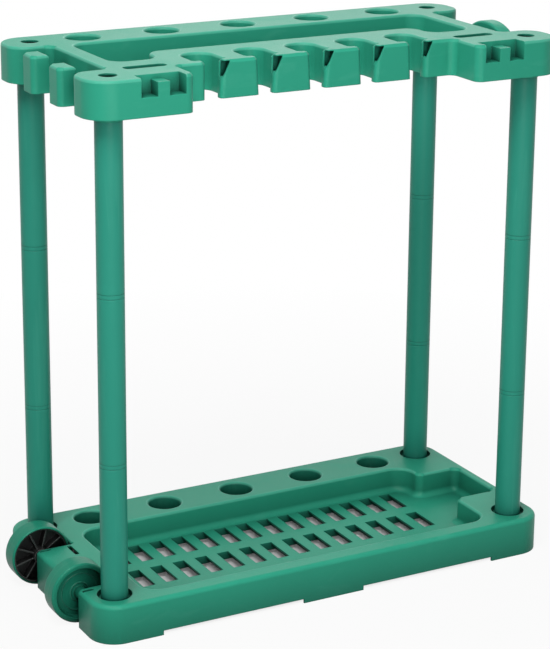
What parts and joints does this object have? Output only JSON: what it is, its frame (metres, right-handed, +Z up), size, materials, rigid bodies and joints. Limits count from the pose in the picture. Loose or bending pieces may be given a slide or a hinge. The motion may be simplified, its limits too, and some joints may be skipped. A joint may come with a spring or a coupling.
{
  "type": "garden tool rack",
  "caption": "Freestanding wheeled rack for long-handled garden tools: a moulded top with holes and notches on four poles above a slotted tray base.",
  "frame": {"origin": "on the floor below the middle of the whole rack, wheels included", "axes": "+X along the rack from the wheels to the hand grip, +Y from the notched front to the back rail, +Z up"},
  "size_m": [0.8115, 0.37, 0.83],
  "materials": {
    "green_moulding": "satin moulded plastic",
    "pole_green": "smooth satin plastic tube",
    "wheel_green": "satin moulded plastic",
    "black_plastic": "satin moulded plastic",
    "steel": "bright zinc"
  },
  "bodies": {
    "rack": {"top_frame": "green_moulding", "base_tray": "green_moulding", "pole_front_left_lower": "pole_green", "pole_front_left_middle": "pole_green", "pole_front_left_upper": "pole_green", "pole_front_right_lower": "pole_green", "pole_front_right_middle": "pole_green", "pole_front_right_upper": "pole_green", "pole_back_left_lower": "pole_green", "pole_back_left_middle": "pole_green", "pole_back_left_upper": "pole_green", "pole_back_right_lower": "pole_green", "pole_back_right_middle": "pole_green", "pole_back_right_upper": "pole_green", "axle": "steel", "axle_cap_front": "steel", "axle_cap_back": "steel"},
    "wheel_front": {"wheel_rim_front": "wheel_green", "wheel_core_front": "black_plastic"},
    "wheel_back": {"wheel_rim_back": "wheel_green", "wheel_core_back": "black_plastic"}
  },
  "joints": [
    {"name": "wheel_front_spin", "type": "hinge", "parent": "rack", "child": "wheel_front", "pos_m": [-0.35875, -0.0765, 0.0475], "axis": [0, 1, 0], "continuous": true},
    {"name": "wheel_back_spin", "type": "hinge", "parent": "rack", "child": "wheel_back", "pos_m": [-0.35875, 0.0765, 0.0475], "axis": [0, 1, 0], "continuous": true}
  ]
}
